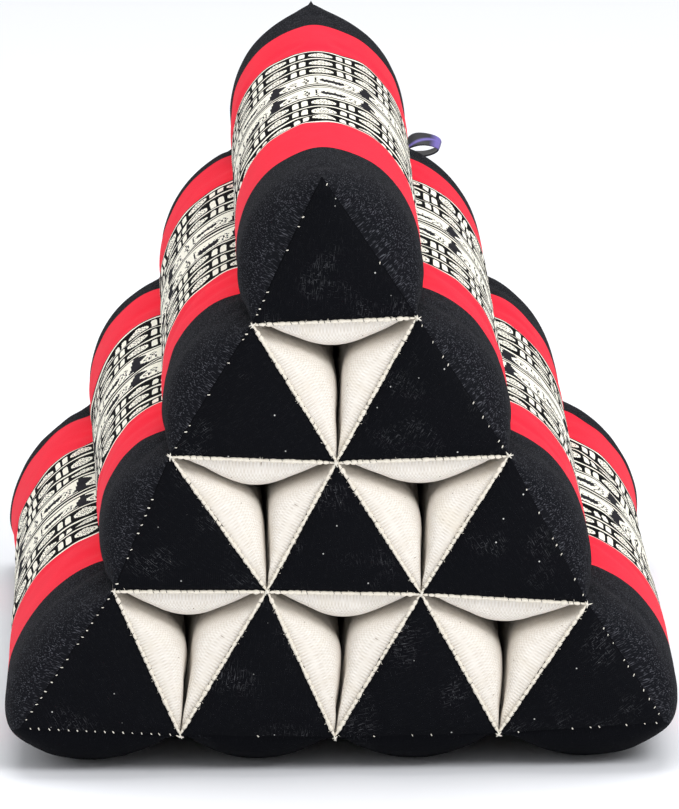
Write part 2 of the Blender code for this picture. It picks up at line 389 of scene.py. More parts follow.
def section(row, place, share, turn):
    """Closed outline of one channel, as (x, z) points; turn is how far the shoulder has turned."""
    fullness = math.sin(turn)
    pressed = (1 - math.cos(turn) ** INNER_SQUARENESS) ** (1 / INNER_SQUARENESS)
    inward = min(share, 1 - share) * SEAM_LENGTH - CAP_DEPTH
    floored = math.sqrt(1 - (1 - min(max(inward / FLOOR_SHOULDER, 0.0), 1.0)) ** 2)
    names = ((row + 1, place), (row + 1, place + 1), (row, place))
    corners = [pushed_corner(*name, share, fullness) for name in names]
    middle = (corners[0] + corners[1] + corners[2]) / 3
    corners = [c + (middle - c).normalized() * CORNER_INSET for c in corners]
    swells = next(f for f in FILLS if (f.row, f.place) == (row, place))[2:]
    outline = []
    for side, wall in enumerate(walls_of(row, place)):
        start, along = corners[side], corners[(side + 1) % 3] - corners[side]
        normal = Vector((along.y, -along.x)).normalized()
        planes = press_planes(row, wall, share)
        first_power, last_power = swell_powers(side, wall)
        for step in range(WALL_STEPS):
            u = (1 - math.cos(math.pi * step / WALL_STEPS)) / 2
            point = start + along * u
            power = first_power + (last_power - first_power) * u
            share_full = fullness if wall.outer else pressed
            if wall.outer and side == 0:
                share_full = floored
            rise = swells[side] * 0.001 * share_full * (4 * u * (1 - u)) ** power
            for seam, away_side in planes:
                towards = -normal.dot(away_side)
                if towards > 1e-6:
                    clear = (point - seam).dot(away_side) - HALF_GAP
                    rise = soft_least(rise, max(clear / towards, 0.0))
            if side == 0 and wall.outer:
                rise = min(rise, point.y / -normal.y)
            outline.append(point + normal * rise)
    if (row, place) in FREE_CORNERS:
        fade = min(max((ROUNDED_UNTIL - share) / ROUNDING_FADE, 0.0), 1.0)
        round_corner(outline, FREE_CORNERS[row, place], fullness * fade)
    return outline


def ring_marks():
    """Distance from the front seam and turn of the shoulder for every ring of points."""
    turns = [math.pi / 2 * k / SHOULDER_STEPS for k in range(SHOULDER_STEPS + 1)]
    front = [(CAP_DEPTH + (1 - math.cos(a)) * SHOULDER, a) for a in turns]
    rear = [(SEAM_LENGTH - distance, a) for distance, a in reversed(front)]
    reach = rear[0][0] - front[-1][0]
    count = round(reach / RING_STRIDE)
    middle = [(front[-1][0] + reach * k / count, turns[-1]) for k in range(1, count)]
    return front + middle + rear


RINGS = ring_marks()
CHANNELS = [(row, place) for row in range(ROWS) for place in range(row + 1)]
OUTLINES = {}
for key in CHANNELS:
    OUTLINES[key] = [section(*key, distance / SEAM_LENGTH, turn) for distance, turn in RINGS]
print(len(RINGS), "rings of", 3 * WALL_STEPS, "points on each channel")

# %% [markdown]
# ## Bands along the slopes
#
# Each slope is black at the front end, then red, patterned, red, and black
# again. The bands were sewn by hand and don't line up between channels, so the
# table gives each channel's four band seams. The UV map is stretched a little
# between them, so that one material serves all the slopes.

# %% Band table and UV map
Bands = namedtuple("Bands", "row place red pattern pattern_end red_end phase")
BANDS = (
    Bands(0, 0, -168, -94, 112, 180, 14.2),
    Bands(1, 0, -161, -98, 135, 199, 33.3),
    Bands(1, 1, -165, -97, 135, 186, 15.6),
    Bands(2, 0, -177, -108, 121, 194, 18.5),
    Bands(2, 2, -177, -104, 109, 170, 47.6),
    Bands(3, 0, -170, -98, 130, 203, 25.0),
    Bands(3, 3, -158, -88, 138, 203, 16.5),
)
EVEN_BANDS = (-HALF_LENGTH, -0.167, -0.097, 0.128, 0.193, HALF_LENGTH)
BAND_LEAN = 0.002
STRAIGHT_AT = 0.4


def band_place(row, place, y, down_slope):
    """Where y lies along the cloth whose bands are all even."""
    own = next((b for b in BANDS if (b.row, b.place) == (row, place)), None)
    if own is None:
        return y
    seams = [-HALF_LENGTH] + [mm * 0.001 for mm in own[2:6]] + [HALF_LENGTH]
    lean = BAND_LEAN * (down_slope ** 2 - STRAIGHT_AT) * (1 - abs(y / HALF_LENGTH) ** 4)
    y += lean
    for k in range(5):
        if y <= seams[k + 1] or k == 4:
            part = (y - seams[k]) / (seams[k + 1] - seams[k])
            return EVEN_BANDS[k] + (EVEN_BANDS[k + 1] - EVEN_BANDS[k]) * part
    return y


BANDED, MUSLIN, PLAIN_BLACK = range(3)


def wall_cloth(side, wall):
    """Number of the cloth on a wall: the holes are muslin, the base plain black."""
    if not wall.outer:
        return MUSLIN
    return PLAIN_BLACK if side == 0 else BANDED


# %% [markdown]
# ## Three-cornered end panels
#
# A panel starts as one triangle whose edges are subdivided with a grid fill,
# which gives an even lattice of small triangles. The points then move towards
# the corners, to meet the rings of the tube, and rise to a low crown.

# %% Panel of cloth over an end
CAP_CROWN = 0.0060
CAP_POWER = 0.7


def make_panel(corners, y, outwards, steps):
    """Crowned triangle at y as a new mesh, and each point's share of the corners."""
    mesh = bmesh.new()
    mesh.loops.layers.uv.new("cloth")
    verts = [mesh.verts.new((c.x, y, c.y)) for c in corners]
    face = mesh.faces.new(verts if outwards < 0 else verts[::-1])
    bmesh.ops.subdivide_edges(mesh, edges=list(face.edges), cuts=steps - 1,
                              use_grid_fill=True)
    a, b, c = corners
    whole = (b - a).cross(c - a)
    shares = []
    for vert in mesh.verts:
        flat = Vector((vert.co.x, vert.co.z))
        areas = ((b - flat).cross(c - flat), (c - flat).cross(a - flat), (a - flat).cross(b - flat))
        weights = [math.sin(math.pi / 2 * min(max(area / whole, 0.0), 1.0)) ** 2 for area in areas]
        shares.append([w / sum(weights) for w in weights])
    for vert, (first, second, third) in zip(mesh.verts, shares):
        flat = a * first + b * second + c * third
        height = CAP_CROWN * (27 * first * second * third) ** CAP_POWER
        vert.co = (flat.x, y + outwards * height, flat.y)
    return mesh, shares


def add_to(mesh, other):
    """Moves the other mesh's geometry into mesh."""
    carrier = bpy.data.meshes.new("carrier")
    other.to_mesh(carrier)
    other.free()
    mesh.from_mesh(carrier)
    bpy.data.meshes.remove(carrier)


# %% Rolled channels
def roll_channel(row, place):
    """Closed mesh of one channel, before it is stuffed."""
    outlines = OUTLINES[row, place]
    around = 3 * WALL_STEPS
    mesh = bmesh.new()
    mesh.loops.layers.uv.new("cloth")
    bmesh.ops.create_grid(mesh, x_segments=around, y_segments=len(RINGS) - 1, size=0.5,
                          calc_uvs=True)
    middle_ring = outlines[len(RINGS) // 2]
    lengths = [0.0]
    for k in range(around):
        lengths.append(lengths[-1] + (middle_ring[(k + 1) % around] - middle_ring[k]).length)
    apex_length = lengths[2 * WALL_STEPS]
    own = next((b for b in BANDS if (b.row, b.place) == (row, place)), None)
    phase = own.phase * 0.001 if own else 0.0
    cloth = mesh.loops.layers.uv["cloth"]
    walls = walls_of(row, place)
    for face in mesh.faces:
        column = int((face.calc_center_median().x + 0.5) * around)
        side = column // WALL_STEPS
        face.material_index = wall_cloth(side, walls[side])
        for loop in face.loops:
            k = round((loop.vert.co.x + 0.5) * around)
            ring = round((loop.vert.co.y + 0.5) * (len(RINGS) - 1))
            down = abs(k - 2 * WALL_STEPS) / WALL_STEPS
            y = RINGS[ring][0] - SEAM_LENGTH / 2
            loop[cloth].uv = (lengths[k] - apex_length + phase, band_place(row, place, y, down))
    column_of, ring_of = (mesh.verts.layers.int.new(name) for name in ("column", "ring"))
    for vert in mesh.verts:
        k = round((vert.co.x + 0.5) * around) % around
        ring = round((vert.co.y + 0.5) * (len(RINGS) - 1))
        point = outlines[ring][k]
        vert.co = (point.x, RINGS[ring][0] - SEAM_LENGTH / 2, point.y)
        vert[column_of], vert[ring_of] = k, ring
    for ring, outwards in ((0, -1), (len(RINGS) - 1, 1)):
        corners = [outlines[ring][k * WALL_STEPS] for k in range(3)]
        panel, _ = make_panel(corners, RINGS[ring][0] - SEAM_LENGTH / 2, outwards, WALL_STEPS)
        for face in panel.faces:
            face.material_index = PLAIN_BLACK
        add_to(mesh, panel)
    bmesh.ops.remove_doubles(mesh, verts=mesh.verts, dist=2e-5)
    bmesh.ops.recalc_face_normals(mesh, faces=mesh.faces)
    return mesh


meshes = {key: roll_channel(*key) for key in CHANNELS}
for key, mesh in meshes.items():
    open_edges = sum(1 for e in mesh.edges if len(e.link_faces) != 2)
    print("channel", key, len(mesh.verts), "points,", open_edges, "open edges")

# %% [markdown]
# ## Stuffing the channels
#
# Blender's cloth simulation blows up each tube from inside, which stands for the
# kapok. The seams are pinned, because thread holds them. The cloth is given one
# or two percent too much length, so that it puckers beside the seams as sewn
# cloth does. Gravity is off, as hard stuffing hardly sags. The ridge and the
# two edges on the floor have no seam, so nothing is pinned there.

# %% Pin the seams and blow up the tubes
STUFFING_FRAMES = 20
PRESSURE = 4.0
SPARE_CLOTH = -0.016
END_REACH = SEAM_LENGTH / 2 - CAP_DEPTH


def places_on(data):
    """(column, ring) of each point of a rolled channel, None on its end panels."""
    columns, rings = data.attributes["column"].data, data.attributes["ring"].data
    return [None if abs(vert.co.y) > END_REACH - 1e-5
            else (columns[vert.index].value, rings[vert.index].value) for vert in data.vertices]


def pinned(key, place):
    """True on an end panel and along each sewn corner."""
    if place is None:
        return True
    corner, rest = divmod(place[0], WALL_STEPS)
    return rest == 0 and FREE_CORNERS.get(key) != corner


pads = {}
for key, mesh in meshes.items():
    data = bpy.data.meshes.new(f"stuffed_row{key[0] + 1}_{key[1] + 1}")
    mesh.to_mesh(data)
    mesh.free()
    pads[key] = link_object(data.name, data)
    seams = pads[key].vertex_groups.new(name="seams")
    sewn = [index for index, place in enumerate(places_on(data)) if pinned(key, place)]
    seams.add(sewn, 1.0, "REPLACE")
    stuffing = pads[key].modifiers.new("stuffing", "CLOTH")
    stuffing.settings.quality = 5
    stuffing.settings.bending_stiffness = 0.3
    stuffing.settings.use_pressure = True
    stuffing.settings.uniform_pressure_force = PRESSURE
    stuffing.settings.shrink_min = SPARE_CLOTH
    stuffing.settings.effector_weights.gravity = 0.0
    stuffing.settings.vertex_group_mass = "seams"
    stuffing.point_cache.frame_end = STUFFING_FRAMES
for number in range(1, STUFFING_FRAMES + 1):
    bpy.context.scene.frame_set(number)
print("stuffed", len(pads), "channels")

# %% [markdown]
# ## Keeping each channel in its own space
#
# The simulation is used for its puckers, and the sections already have the right
# fullness. So each point's move is averaged with those of its neighbours along
# the channel, and only the difference is kept, with a cap on it. Then the shared
# planes of neighbouring walls, and the floor, hold the points back.

# %% Apply the simulation within its limits
MOST_MOVED = 0.0012
KEPT_SHARE = 0.6
AVERAGED_RINGS = 7


def puckers(places, data, blown):
    """Every free point's move, less the mean move of the same column near it."""
    moves = {}
    for place, vert, target in zip(places, data.vertices, blown.vertices):
        if place:
            moves[place] = target.co - vert.co
    kept = {}
    for (column, ring), move in moves.items():
        near = [moves[column, r] for r in range(ring - AVERAGED_RINGS, ring + AVERAGED_RINGS + 1)
                if (column, r) in moves]
        kept[column, ring] = move - sum(near, Vector()) / len(near)
    return kept


def hold_back(key, place, point):
    """Moves a point out of its neighbours' walls and out of the floor."""
    column, ring = place
    flat = Vector((point.x, point.z))
    wall = walls_of(*key)[column // WALL_STEPS]
    for seam, away_side in press_planes(key[0], wall, RINGS[ring][0] / SEAM_LENGTH):
        inside = HALF_GAP - (flat - seam).dot(away_side)
        if inside > 0:
            flat += away_side * inside
    return Vector((flat.x, point.y, max(flat.y, 0.0)))


graph = bpy.context.evaluated_depsgraph_get()
for key, pad in pads.items():
    blown = bpy.data.meshes.new_from_object(pad.evaluated_get(graph))
    pad.modifiers.clear()
    places = places_on(pad.data)
    moves = puckers(places, pad.data, blown)
    for place, vert in zip(places, pad.data.vertices):
        if place:
            move = moves[place] * KEPT_SHARE
            if move.length > MOST_MOVED:
                move *= MOST_MOVED / move.length
            vert.co = hold_back(key, place, vert.co + move)
    bpy.data.meshes.remove(blown)
    print(pad.name, "puckered")
    pad.vertex_groups.clear()
    for name in ("column", "ring"):
        pad.data.attributes.remove(pad.data.attributes[name])
    pad.data.shade_smooth()
    smoother = pad.modifiers.new("finer cloth", "SUBSURF")
    smoother.levels = smoother.render_levels = 1
    smoother.boundary_smooth = "PRESERVE_CORNERS"
bpy.context.scene.frame_set(1)

# %% [markdown]
# ## End caps
#
# A black cotton triangle is whip-stitched over each end. Its edge is turned
# under, so it rolls off towards the seam, and every stitch pulls it in a little.
# The middle is tight over the kapok, with a few soft dents. One panel function
# makes it, finer than the tube's own end, and Solidify gives the cloth its
# thickness on the inner side.

# %% Cap shape
CAP_STEPS = 60
CAP_THICKNESS = 0.0010
STITCH_PITCH = 0.0048
STITCH_PULL = 0.00022
EDGE_ROLL = 0.0005
EDGE_REACH = 0.0022
DENT_SIZE = 0.026
DENT_DEPTH = 0.0011
TIGHT_EDGE = 0.012
PULL_REACH = 2.2
CAP_TURNS = (0.12, 0.55, -0.5, 0.95, -0.2, 1.35, -0.85)

Pinch = namedtuple("Pinch", "row place x z turn length width depth")
PINCHES = (
    Pinch(0, 0, -0.5, -7.5, -12, 9.0, 1.6, 1.5),
    Pinch(0, 0, 4.5, -11.0, -34, 7.0, 1.4, 1.0),
    Pinch(0, 0, -7.5, -6.0, 20, 6.0, 1.5, -0.8),
    Pinch(3, 0, -70.0, -58.0, 35, 12.0, 3.0, 0.8),
    Pinch(1, 1, 8.0, -20.0, 62, 10.0, 3.0, 0.5),
)


def pinch_height(key, flat, apex):
    """Sum of the small listed folds near a cap's upper corner."""
    height = 0.0
    for pinch in PINCHES:
        if (pinch.row, pinch.place) != key:
            continue
        local = (flat - apex) * 1000 - Vector((pinch.x, pinch.z))
        local.rotate(Matrix.Rotation(math.radians(pinch.turn), 2))
        height += pinch.depth * math.exp(-(local.x / pinch.length) ** 2
                                         - (local.y / pinch.width) ** 2)
    return height * 0.001


def end_corners(key, share):
    """The three corners of a channel's end, drawn in a little from the seams."""
    names = ((key[0] + 1, key[1]), (key[0] + 1, key[1] + 1), key)
    corners = [corner_at(*name, share) for name in names]
    middle = (corners[0] + corners[1] + corners[2]) / 3
    return [c + (middle - c).normalized() * CORNER_INSET for c in corners]


def make_cap(key, outwards):
    """Closed shell of one end cap, as an object."""
    corners = end_corners(key, 0.0 if outwards < 0 else 1.0)
    mesh, shares = make_panel(corners, outwards * SEAM_LENGTH / 2, outwards, CAP_STEPS)
    sides = [(corners[(k + 1) % 3] - corners[k]) for k in range(3)]
    lengths = [side.length for side in sides]
    heights = [abs(sides[k].cross(corners[(k + 2) % 3] - corners[k])) / lengths[k] for k in range(3)]
    turn = Matrix.Rotation(CAP_TURNS[(key[0] * 3 + key[1] * 5 + (outwards > 0)) % len(CAP_TURNS)], 2)
    cloth = mesh.loops.layers.uv["cloth"]
    for vert, share in zip(mesh.verts, shares):
        flat = Vector((vert.co.x, vert.co.z))
        roll, pull = 0.0, 0.0
        for k in range(3):
            off = share[(k + 2) % 3] * heights[k]
            along = (flat - corners[k]).dot(sides[k]) / lengths[k]
            wave = 0.5 + 0.5 * math.cos(2 * math.pi * along / STITCH_PITCH)
            roll = max(roll, math.exp(-(off / EDGE_REACH) ** 2))
            pull = max(pull, math.exp(-(off / (PULL_REACH * EDGE_REACH)) ** 1.5) * wave)
        inner = 1 - max(math.exp(-(s * h / TIGHT_EDGE) ** 2)
                        for s, h in zip((share[2], share[0], share[1]), heights))
        dent = noise.noise(Vector((flat.x, outwards * 3.0 + key[0], flat.y)) / DENT_SIZE)
        rise = dent * DENT_DEPTH * inner - EDGE_ROLL * roll - STITCH_PULL * pull
        if outwards < 0:
            rise += pinch_height(key, flat, corners[2])
        vert.co.y += outwards * rise
        for loop in vert.link_loops:
            loop[cloth].uv = turn @ flat
    bmesh.ops.recalc_face_normals(mesh, faces=mesh.faces)
    if sum(face.normal.y for face in mesh.faces) * outwards < 0:
        bmesh.ops.reverse_faces(mesh, faces=mesh.faces)
    end = "front" if outwards < 0 else "rear"
    data = bpy.data.meshes.new(f"cap_cloth_{end}_row{key[0] + 1}_{key[1] + 1}")
    mesh.to_mesh(data)
    mesh.free()
    data.shade_smooth()
    cap = link_object(data.name, data)
    wall = cap.modifiers.new("thickness", "SOLIDIFY")
    wall.thickness = CAP_THICKNESS
    wall.offset = -1.0
    return cap


caps = {(key, end): make_cap(key, end) for key in CHANNELS for end in (-1, 1)}
print(len(caps), "caps of", len(caps[(0, 0), -1].data.polygons), "faces before thickness")

# %% [markdown]
# ## Thread, rolled edges and loose ends
#
# Everything thin here is a tube along a path: stitches, the rolled muslin edge
# and its loose fibres. A flat grid rolled round the path makes such a tube, and
# where the radius falls to nothing at its ends, merging closes them. All tubes
# of one kind join one mesh.

# %% Tubes along a path
def roll_tube(mesh, path, radii, sides, flatten=1.0):
    """Adds a tube of a given radius at each point of a path, closed at both ends."""
    tube = bmesh.new()
    bmesh.ops.create_grid(tube, x_segments=sides, y_segments=len(path) - 1, size=0.5)
    frames = []
    for k, point in enumerate(path):
        ahead = (path[min(k + 1, len(path) - 1)] - path[max(k - 1, 0)]).normalized()
        across = ahead.cross(Vector((0.0, 1.0, 0.0)))
        if across.length < 0.2:
            across = ahead.cross(Vector((1.0, 0.0, 0.0)))
        across.normalize()
        frames.append((point, across, ahead.cross(across)))
    for vert in tube.verts:
        k = round((vert.co.y + 0.5) * (len(path) - 1))
        angle = (vert.co.x + 0.5) * 2 * math.pi
        point, across, over = frames[k]
        ring = across * math.cos(angle) + over * math.sin(angle) * flatten
        vert.co = point + ring * (radii[k] if 0 < k < len(path) - 1 else 0.0)
    bmesh.ops.remove_doubles(tube, verts=tube.verts, dist=1e-6)
    bmesh.ops.recalc_face_normals(tube, faces=tube.faces)
    add_to(mesh, tube)


def finish_mesh(name, mesh):
    """Turns a bmesh into a smooth object."""
    data = bpy.data.meshes.new(name)
    mesh.to_mesh(data)
    mesh.free()
    data.shade_smooth()
    made = link_object(name, data)
    print(name, len(data.polygons), "faces")
    return made


# %% [markdown]
# ## Rolled muslin edge
#
# Where a cap meets a muslin wall, the muslin's edge is rolled under the cap and
# oversewn with black thread. Each stitch bites into the roll, so the edge shows
# as a row of small bright scallops with short loose fibres.

# %% Muslin edges
EDGE_PITCH = 0.0034
EDGE_RADIUS = 0.00115
EDGE_BITE = 0.5
EDGE_STEP = 0.0006
FIBRES_PER_EDGE = 10
EDGE_OUT = 0.0003
EDGE_SWELL = 0.0002
EDGE_TAPER = 14
EDGE_TIP = 0.25
EDGE_SIZES = (0.75, 1.2)
FIBRE_REACH = (0.0006, 0.0016)
FIBRE_RADIUS = (0.00008, 0.00016)

Edge = namedtuple("Edge", "key side outwards start end normal cloth")


def cap_edges():
    """The three sides of every cap."""
    for key in CHANNELS:
        walls = walls_of(*key)
        for outwards in (-1, 1):
            corners = end_corners(key, 0.0 if outwards < 0 else 1.0)
            for side in range(3):
                start, end = corners[side], corners[(side + 1) % 3]
                along = (end - start).normalized()
                yield Edge(key, side, outwards, start, end, Vector((along.y, -along.x)),
                           wall_cloth(side, walls[side]))


def in_front(flat, outwards, depth):
    """A point of the end plane, depth metres outwards of the seam plane."""
    return Vector((flat.x, outwards * (SEAM_LENGTH / 2 + depth), flat.y))


EDGES = list(cap_edges())
chance = random.Random(7)
muslin_edge = bmesh.new()
fibres = bmesh.new()
for edge in (e for e in EDGES if e.cloth == MUSLIN):
    span = edge.end - edge.start
    steps = round(span.length / EDGE_STEP)
    beats = round(span.length / EDGE_PITCH)
    sizes = [chance.uniform(*EDGE_SIZES) for _ in range(beats + 1)]
    path, radii = [], []
    for k in range(steps + 1):
        t = k / steps
        beat = abs(math.sin(math.pi * t * beats)) ** 0.6
        size = sizes[int(t * beats)]
        edge_end = min(1.0, EDGE_TAPER * min(t, 1 - t) + EDGE_TIP)
        lift = EDGE_OUT + EDGE_SWELL * beat
        path.append(in_front(edge.start + span * t + edge.normal * lift, edge.outwards, 0.0001))
        radii.append(EDGE_RADIUS * size * edge_end * (1 - EDGE_BITE + EDGE_BITE * beat))
    roll_tube(muslin_edge, path, radii, 6)
    for _ in range(FIBRES_PER_EDGE):
        root = edge.start + span * chance.uniform(0.02, 0.98) - edge.normal * EDGE_RADIUS * 0.3
        lean = edge.normal * chance.uniform(-1.6, 0.4) + span.normalized() * chance.uniform(-1, 1)
        reach = chance.uniform(*FIBRE_REACH)
        tip = root + lean.normalized() * reach
        bend = (root + tip) / 2 + edge.normal * chance.uniform(-0.0004, 0.0004)
        path = [in_front(root, edge.outwards, 0.0006), in_front(bend, edge.outwards, 0.0012),
                in_front(tip, edge.outwards, chance.uniform(0.0004, 0.0012))]
        path = [path[0], path[0].lerp(path[1], 0.5), path[1], path[1].lerp(path[2], 0.6), path[2]]
        thick = chance.uniform(*FIBRE_RADIUS)
        roll_tube(fibres, path, [thick] * len(path), 3)
rolled_edges = finish_mesh("rolled_muslin_edges", muslin_edge)
loose_fibres = finish_mesh("loose_muslin_fibres", fibres)

# %% [markdown]
# ## Stitches
#
# The caps are sewn on by hand. Black thread crosses the muslin edges, and where
# black meets black, the white thread of the seam below peeps out as a row of
# short slanted dots. At each inner corner several ends are knotted together
# into a small white star.

# %% Stitches and knots
BITE_RADIUS = 0.00017
DOT_RADIUS = 0.00034
KNOT_RADIUS = 0.00045
KNOT_REACH = 0.0025
KNOT_STEPS = 8
BITE_SHARE = 0.6
BITE_LIFT = 0.0012
DOT_LIFT = 0.0005
USUAL_DOT_SHARE = 0.45

black_thread = bmesh.new()
white_thread = bmesh.new()


def add_stitch(mesh, edge, t, reach_in, reach_out, slant, radius, lift):
    """One stitch across an edge, a low arch from the cap to the wall."""
    span = edge.end - edge.start
    middle = edge.start + span * t
    low = middle - edge.normal * reach_in - span.normalized() * slant
    high = middle + edge.normal * reach_out + span.normalized() * slant
    path = []
    for k in range(6):
        u = k / 5
        arch = math.sin(math.pi * u)
        path.append(in_front(low.lerp(high, u), edge.outwards, lift * arch - 0.0002))
    roll_tube(mesh, path, [radius] * 6, 5)


DOT_SHARE = {
    ((3, 0), 0, -1): 0.95,
    ((3, 0), 2, -1): 0.9,
    ((3, 3), 1, -1): 0.6,
    ((0, 0), 2, -1): 0.45,
    ((0, 0), 1, -1): 0.25,
    ((3, 1), 0, -1): 0.15,
    ((3, 2), 0, -1): 0.15,
}
for edge in EDGES:
    length = (edge.end - edge.start).length
    if edge.cloth == MUSLIN:
        beats = round(length / EDGE_PITCH)
        for k in range(1, beats):
            if chance.random() < BITE_SHARE:
                t = k / beats + chance.uniform(-0.006, 0.006)
                add_stitch(black_thread, edge, t, 0.0009, chance.uniform(0.0008, 0.0016), 0.0004,
                           BITE_RADIUS * chance.uniform(0.6, 1.0), BITE_LIFT)
        continue
    beats = round(length / STITCH_PITCH)
    for k in range(1, beats):
        if chance.random() < DOT_SHARE.get((edge.key, edge.side, edge.outwards), USUAL_DOT_SHARE):
            reach = chance.uniform(0.0003, 0.0008)
            add_stitch(white_thread, edge, k / beats + chance.uniform(-0.01, 0.01), reach, reach,
                       chance.uniform(0.0002, 0.0006), DOT_RADIUS * chance.uniform(0.6, 1.1),
                       DOT_LIFT)

for corner in CORNERS:
    inner = 0 < corner.place < corner.row and corner.row < ROWS
    outer_muslin = 0 < corner.row < ROWS and not inner
    low_muslin = corner.row == ROWS and 0 < corner.place < ROWS
    if not (inner or outer_muslin or low_muslin):
        continue
    for outwards in (-1, 1):
        middle = corner_at(corner.row, corner.place, 0.0 if outwards < 0 else 1.0)
        count = 5 if inner else 3
        for k in range(count):
            angle = math.pi * (k + chance.uniform(-0.45, 0.45)) / count
            arm = Vector((math.cos(angle), math.sin(angle))) * KNOT_REACH * chance.uniform(0.6, 1.0)
            off = Vector((chance.uniform(-1, 1), chance.uniform(-1, 1))) * 0.0006
            path = []
            for step in range(KNOT_STEPS):
                u = step / (KNOT_STEPS - 1) * 2 - 1
                rise = 0.0011 * (1 - u * u) + 0.0003
                path.append(in_front(middle + off + arm * u, outwards, rise))
            radius = KNOT_RADIUS * chance.uniform(0.7, 1.1)
            radii = [radius * (1 - 0.5 * abs(step / 3.5 - 1)) for step in range(KNOT_STEPS)]
            roll_tube(white_thread, path, radii, 6)
seam_bites = finish_mesh("black_oversewing", black_thread)
seam_dots = finish_mesh("white_stitches_and_knots", white_thread)

# %% [markdown]
# ## Ribbon loop
#
# A short satin ribbon is folded over and sewn into the groove beside the top
# channel, near the rear end. Its upper run is broad and lies almost flat, and
# the lower run returns to the same stitches. The path below is its near edge,
# and the ribbon is a flat grid bent along it, with its far edge a little higher.

# %% Ribbon loop
RIBBON_PATH_MM = ((47.5, 236.2), (50.5, 237.4), (53.8, 238.3), (57.2, 238.5), (60.4, 238.1),
                  (62.8, 237.4), (64.5, 236.5), (64.9, 235.7), (64.2, 234.8), (62.6, 233.8),
                  (60.2, 232.9), (57.6, 232.2), (54.8, 232.0), (51.5, 232.2))
RIBBON_NEAR = 0.2240
RIBBON_WIDTH = 0.0120
RIBBON_RISE_MM = (3.4, 5.4, 5.2, 4.6, 4.2, 3.9, 3.2, 2.4, 1.6, 1.2, 0.9, 0.8, 0.8, 0.8)
RIBBON_SLIDE_MM = (0.0, 0.0, 0.4, 0.8, 1.2, 1.6, 2.0, 2.0, 1.8, 1.4, 1.0, 0.6, 0.4, 0.2)
RIBBON_THICKNESS = 0.0010
RIBBON_STEPS = 8
RIBBON_RUN_MM = 11.4
RIBBON_BOW_MM = 0.5
RIBBON_WAVES = 2.4

ribbon_mesh = bmesh.new()
ribbon_mesh.loops.layers.uv.new("cloth")
last = len(RIBBON_PATH_MM) - 1
bmesh.ops.create_grid(ribbon_mesh, x_segments=RIBBON_STEPS, y_segments=last, size=0.5,
                      calc_uvs=True)
travelled = [0.0]
for near, far in zip(RIBBON_PATH_MM, RIBBON_PATH_MM[1:]):
    travelled.append(travelled[-1] + math.dist(near, far) * 0.001)
ribbon_uv = ribbon_mesh.loops.layers.uv["cloth"]
for vert in ribbon_mesh.verts:
    k, part = round((vert.co.y + 0.5) * last), vert.co.x + 0.5
    x, z = RIBBON_PATH_MM[k]
    bow = RIBBON_BOW_MM * math.sin(math.pi * part) * math.sin(RIBBON_WAVES * math.pi * k / last)
    for loop in vert.link_loops:
        loop[ribbon_uv].uv = (part * RIBBON_WIDTH, travelled[k])
    vert.co = Vector((x + RIBBON_SLIDE_MM[k] * part, RIBBON_NEAR * 1000 + part * RIBBON_RUN_MM,
                      z + RIBBON_RISE_MM[k] * part + bow)) * 0.001
bmesh.ops.recalc_face_normals(ribbon_mesh, faces=ribbon_mesh.faces)
ribbon = finish_mesh("satin_ribbon", ribbon_mesh)
ribbon_wall = ribbon.modifiers.new("thickness", "SOLIDIFY")
ribbon_wall.thickness = RIBBON_THICKNESS
ribbon_wall.offset = 0.0
ribbon_bend = ribbon.modifiers.new("smooth bends", "SUBSURF")
ribbon_bend.levels = ribbon_bend.render_levels = 2
print("ribbon", round(travelled[-1] * 1000), "mm long")

# %% [markdown]
# ## Woven motifs from charts
#
# The patterned band is a northern Thai weave: rows of bars and lozenges, with
# two rows of elephants between them. A weaver works such motifs from a chart of
# squares, and so does this material. Each row of a chart becomes three numbers,
# one bit for each square, kept in the red, green and blue of a colour ramp.
# The shader picks the row, then the number, then the bit.

# %% Charts
ELEPHANT = (
    "#####...###########################################",
    "####....###########################################",
    "###.....###########################################",
    "##......##########################.#####.##########",
    "#........########################.######.##########",
    ".........#########################.#####.##########",
    ".........########.##.###.##.######.####.###########",
    ".........#####.###.###########.###.####.######..###",
    "#........####.##..#.#.##.###.#..##.####.#####.##.##",
    "##........###.#.###.............##.###...####.##.##",
    "###.......##.##.##...............#.###.#.#####..###",
    "####......###.#.###.............##.###.##.#####.##.",
    ".###......###.##.##.............##.###.#.#####.####",
    "#.##......####.#.###...........##.####...####.##..#",
    "#.##......###.##.####.#.###.#.####.####.#####.###.#",
    ".###.......##.###.################.####.#####.##..#",
    "###........##.####.###############.####.#####.###.#",
    "##..........##.####.#############.####.############",
    "............###.###.######.#.####.#####.####.######",
    ".........#########################################.",
)
LOZENGE = (
    ".#####.....#####...............######..............",
    "#######...#######..........######..######..........",
    "#######...#######.......#####.########.#####.......",
    "#######...#######.....#####.###.####.###.#####.....",
    "#######...#######....####.####.##..##.####.####....",
    "#######...#######....###.####.##.##.##.####.###....",
    "#######...#######....###.####.##.##.##.####.###....",
    "#######...#######....####.####.##..##.####.####....",
    "#######...#######.....#####.###.####.###.#####.....",
    "#######...#######.......#####.########.#####.......",
    "#######...#######..........######..######..........",
    ".#####.....#####...............######..............",
)
print("elephant", len(ELEPHANT[0]), "by", len(ELEPHANT), "squares")


